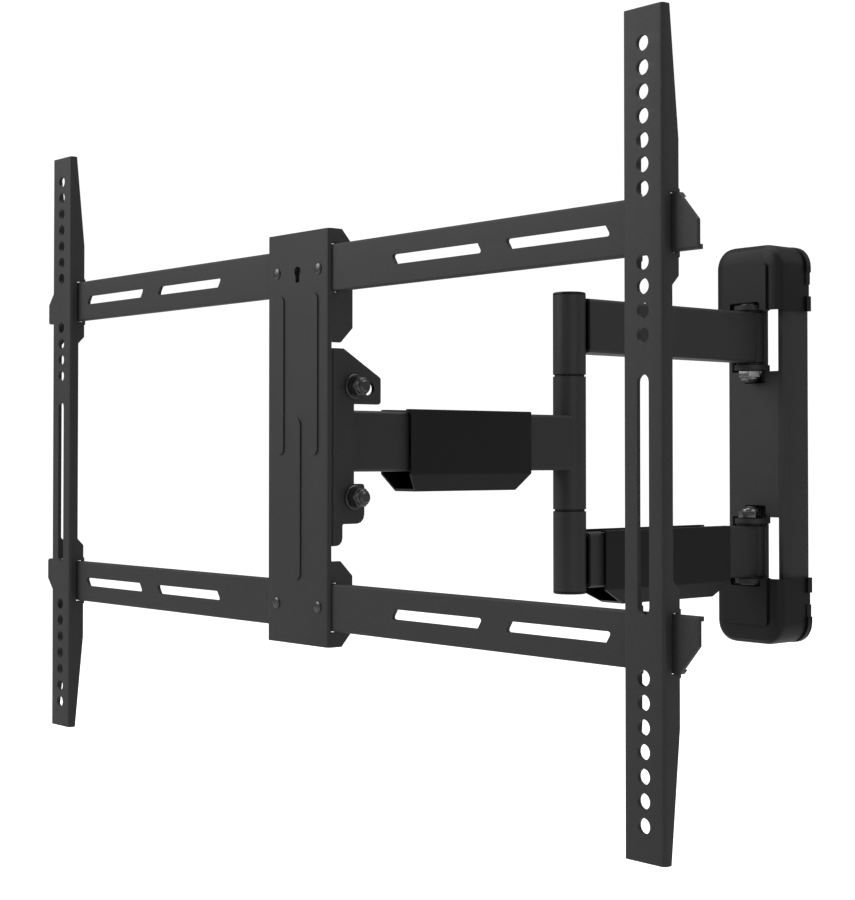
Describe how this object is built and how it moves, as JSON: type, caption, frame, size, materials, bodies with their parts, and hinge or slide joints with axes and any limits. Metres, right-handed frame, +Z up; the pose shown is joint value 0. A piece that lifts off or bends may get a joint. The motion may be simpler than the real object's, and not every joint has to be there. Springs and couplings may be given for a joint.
{
  "type": "full motion tv wall mount",
  "caption": "Full motion wall mount for a flat television: a swivelling double and single arm, a tilting head and a frame with sliding uprights, arms fully extended",
  "frame": {"origin": "centre of the wall plate's flat back face, which lies on the wall", "axes": "+X right as seen from the television looking at the wall, +Y into the wall, +Z up"},
  "size_m": [0.662, 0.496, 0.437],
  "materials": {
    "powder_coated_steel": "fine matt powder coat",
    "arm_steel": "fine matt powder coat",
    "black_plastic": "fine moulded grain, satin",
    "zinc_plated_steel": "bright zinc plate",
    "black_oxide_steel": "dark plated steel",
    "black_nylon": "smooth moulded nylon"
  },
  "bodies": {
    "wall": {"wall_plate": "powder_coated_steel", "wall_cap_top": "black_plastic", "wall_cap_bottom": "black_plastic", "wall_pivot_bolt_top": "black_oxide_steel", "wall_pivot_nut_top": "zinc_plated_steel", "wall_pivot_bolt_bottom": "black_oxide_steel", "wall_pivot_nut_bottom": "zinc_plated_steel", "wall_bush_top_upper": "black_nylon", "wall_bush_top_lower": "black_nylon", "wall_bush_bottom_upper": "black_nylon", "wall_bush_bottom_lower": "black_nylon"},
    "rear_arms": {"rear_arm_top": "arm_steel", "rear_arm_bottom": "arm_steel", "rear_cable_cover": "black_plastic", "elbow_bolt": "black_oxide_steel", "elbow_nut": "zinc_plated_steel", "elbow_cap_top": "black_plastic", "elbow_cap_bottom": "black_plastic", "elbow_washer_upper": "black_nylon", "elbow_washer_lower": "black_nylon"},
    "front_arm_body": {"front_arm": "arm_steel", "front_cable_cover": "black_plastic"},
    "head": {"head_yoke": "arm_steel", "head_pivot_bolt": "black_oxide_steel", "head_pivot_nut": "zinc_plated_steel", "head_bush_upper": "black_nylon", "head_bush_lower": "black_nylon", "tilt_lock_bolt_left": "black_oxide_steel", "tilt_lock_bolt_right": "black_oxide_steel", "tilt_lock_washer_left": "black_oxide_steel", "tilt_lock_washer_right": "black_oxide_steel", "tilt_lock_nut_left": "black_oxide_steel", "tilt_lock_nut_right": "black_oxide_steel", "tilt_pivot_bolt_left": "black_oxide_steel", "tilt_pivot_bolt_right": "black_oxide_steel", "tilt_pivot_washer_left": "black_oxide_steel", "tilt_pivot_washer_right": "black_oxide_steel", "tilt_pivot_nut_left": "black_oxide_steel", "tilt_pivot_nut_right": "black_oxide_steel"},
    "tv_frame": {"tilt_bracket": "arm_steel", "centre_plate": "powder_coated_steel", "upper_bar": "powder_coated_steel", "lower_bar": "powder_coated_steel", "bar_rivet_upper_left": "black_oxide_steel", "bar_rivet_upper_right": "black_oxide_steel", "bar_rivet_lower_left": "black_oxide_steel", "bar_rivet_lower_right": "black_oxide_steel", "bracket_nut_upper_left": "black_oxide_steel", "bracket_nut_upper_right": "black_oxide_steel", "bracket_nut_lower_left": "black_oxide_steel", "bracket_nut_lower_right": "black_oxide_steel"},
    "left_bracket": {"left_upright": "powder_coated_steel", "left_lock_screw_upper": "black_oxide_steel", "left_lock_screw_lower": "black_oxide_steel"},
    "right_bracket": {"right_upright": "powder_coated_steel", "right_lock_screw_upper": "black_oxide_steel", "right_lock_screw_lower": "black_oxide_steel"}
  },
  "joints": [
    {"name": "wall_swivel", "type": "hinge", "parent": "wall", "child": "rear_arms", "pos_m": [0, -0.035, 0], "axis": [0, 0, 1], "range_deg": [-70, 70]},
    {"name": "elbow", "type": "hinge", "parent": "rear_arms", "child": "front_arm_body", "pos_m": [0, -0.244, 0], "axis": [0, 0, 1], "range_deg": [-75, 75]},
    {"name": "head_swivel", "type": "hinge", "parent": "front_arm_body", "child": "head", "pos_m": [0, -0.463, 0], "axis": [0, 0, 1], "range_deg": [-45, 45]},
    {"name": "tilt", "type": "hinge", "parent": "head", "child": "tv_frame", "pos_m": [0, -0.472, -0.036], "axis": [1, 0, 0], "range_deg": [-2, 10]},
    {"name": "left_slide", "type": "slide", "parent": "tv_frame", "child": "left_bracket", "axis": [1, 0, 0], "range_m": [-0.008, 0.2]},
    {"name": "right_slide", "type": "slide", "parent": "tv_frame", "child": "right_bracket", "axis": [1, 0, 0], "range_m": [-0.2, 0.008]}
  ]
}
